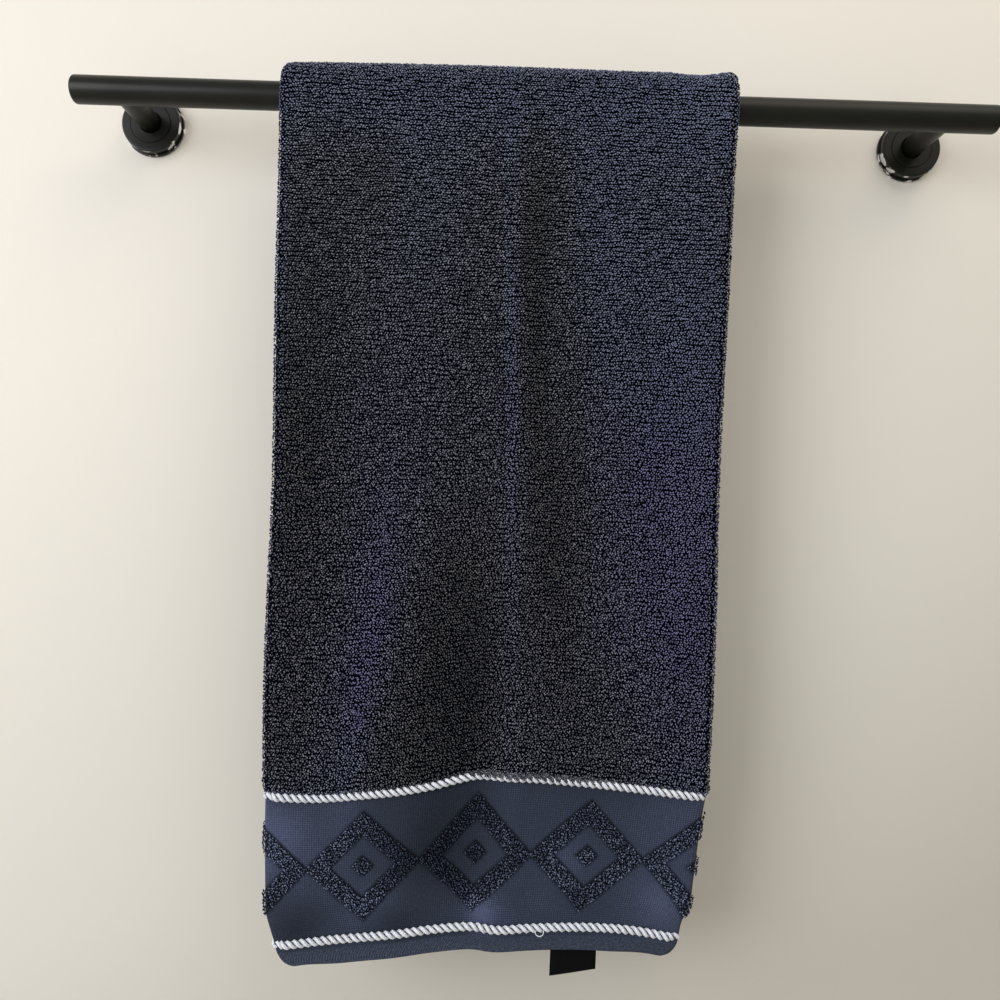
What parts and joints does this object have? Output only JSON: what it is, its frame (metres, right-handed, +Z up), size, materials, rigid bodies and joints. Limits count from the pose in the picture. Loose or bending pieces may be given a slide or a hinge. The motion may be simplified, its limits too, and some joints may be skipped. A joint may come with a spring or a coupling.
{
  "type": "bath towel on towel bar",
  "caption": "Terry bath towel folded lengthwise with its sides turned to the back, hung over a round wall bar on posts with round covers; flat woven border between twisted cords.",
  "frame": {"origin": "on the wall plane, midway between the two posts and level with the bar's axis", "axes": "+X along the bar to the viewer's right, +Y into the wall so that the front of the towel faces -Y, +Z up"},
  "size_m": [0.856, 0.1133, 0.8218],
  "materials": {
    "terry": "navy cotton terry with loops on both faces, flat-woven border and hems",
    "cord": "white twisted cotton cord",
    "label": "black woven satin ribbon, bare",
    "black_metal": "matte black powder coat, worn at the covers' rims"
  },
  "bodies": {
    "root": {"towel": "terry", "cord_upper": "cord", "cord_lower": "cord", "label": "label", "bar": "black_metal", "post_left": "black_metal", "post_right": "black_metal", "cover_left": "black_metal", "cover_right": "black_metal", "wall_plate_left": "black_metal", "wall_plate_right": "black_metal"}
  },
  "joints": []
}
